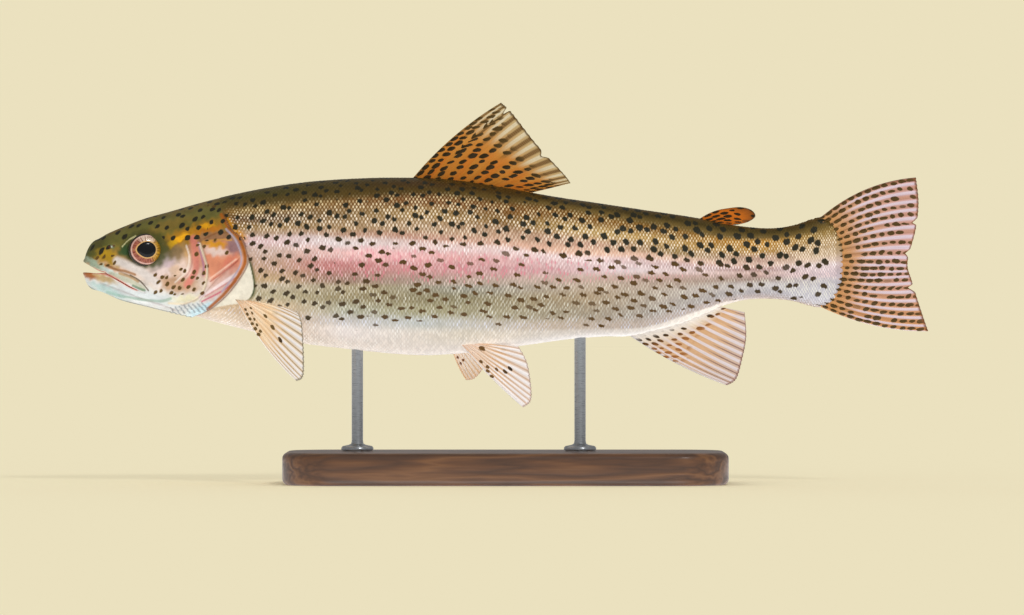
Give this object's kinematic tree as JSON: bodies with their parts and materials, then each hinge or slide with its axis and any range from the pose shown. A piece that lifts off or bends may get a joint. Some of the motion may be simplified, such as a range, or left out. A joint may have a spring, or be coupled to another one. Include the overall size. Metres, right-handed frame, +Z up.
{
  "type": "rainbow trout display model",
  "caption": "Life-size still rainbow trout, swimming level with its mouth a little open and its fins spread, on a plain wood base with two steel rods.",
  "frame": {"origin": "on the floor, under the middle of the fish's length", "axes": "+X towards the tail fin, -Y to the fish's left side, +Z up"},
  "size_m": [0.4192, 0.1, 0.1892],
  "materials": {
    "head_skin": "wet, smooth skin without scales",
    "body_skin": "wet skin with small glossy scales",
    "jaw_skin": "wet, smooth, pale skin",
    "gill_cover_skin": "wet, pink, bony plate under thin skin",
    "orange_fin": "thin wet membrane over soft rays",
    "pale_fin": "thin wet membrane over soft rays",
    "tail_membrane": "thin wet membrane over branched rays",
    "eye": "wet, clear and bulging, over an orange iris",
    "stand_wood": "satin varnish",
    "stand_steel": "brushed"
  },
  "bodies": {
    "root": {"head": "head_skin", "lower_jaw": "jaw_skin", "maxilla_left": "jaw_skin", "maxilla_right": "jaw_skin", "gill_cover_left": "gill_cover_skin", "gill_cover_right": "gill_cover_skin", "trunk": "body_skin", "tail_stalk": "body_skin", "eye_left": "eye", "eye_right": "eye", "dorsal_fin": "orange_fin", "adipose_fin": "orange_fin", "anal_fin": "pale_fin", "pectoral_fin_left": "pale_fin", "pectoral_fin_right": "pale_fin", "pelvic_fin_left": "pale_fin", "pelvic_fin_right": "pale_fin", "caudal_fin": "tail_membrane", "stand_base": "stand_wood", "stand_rod_front": "stand_steel", "stand_rod_rear": "stand_steel"}
  },
  "joints": []
}
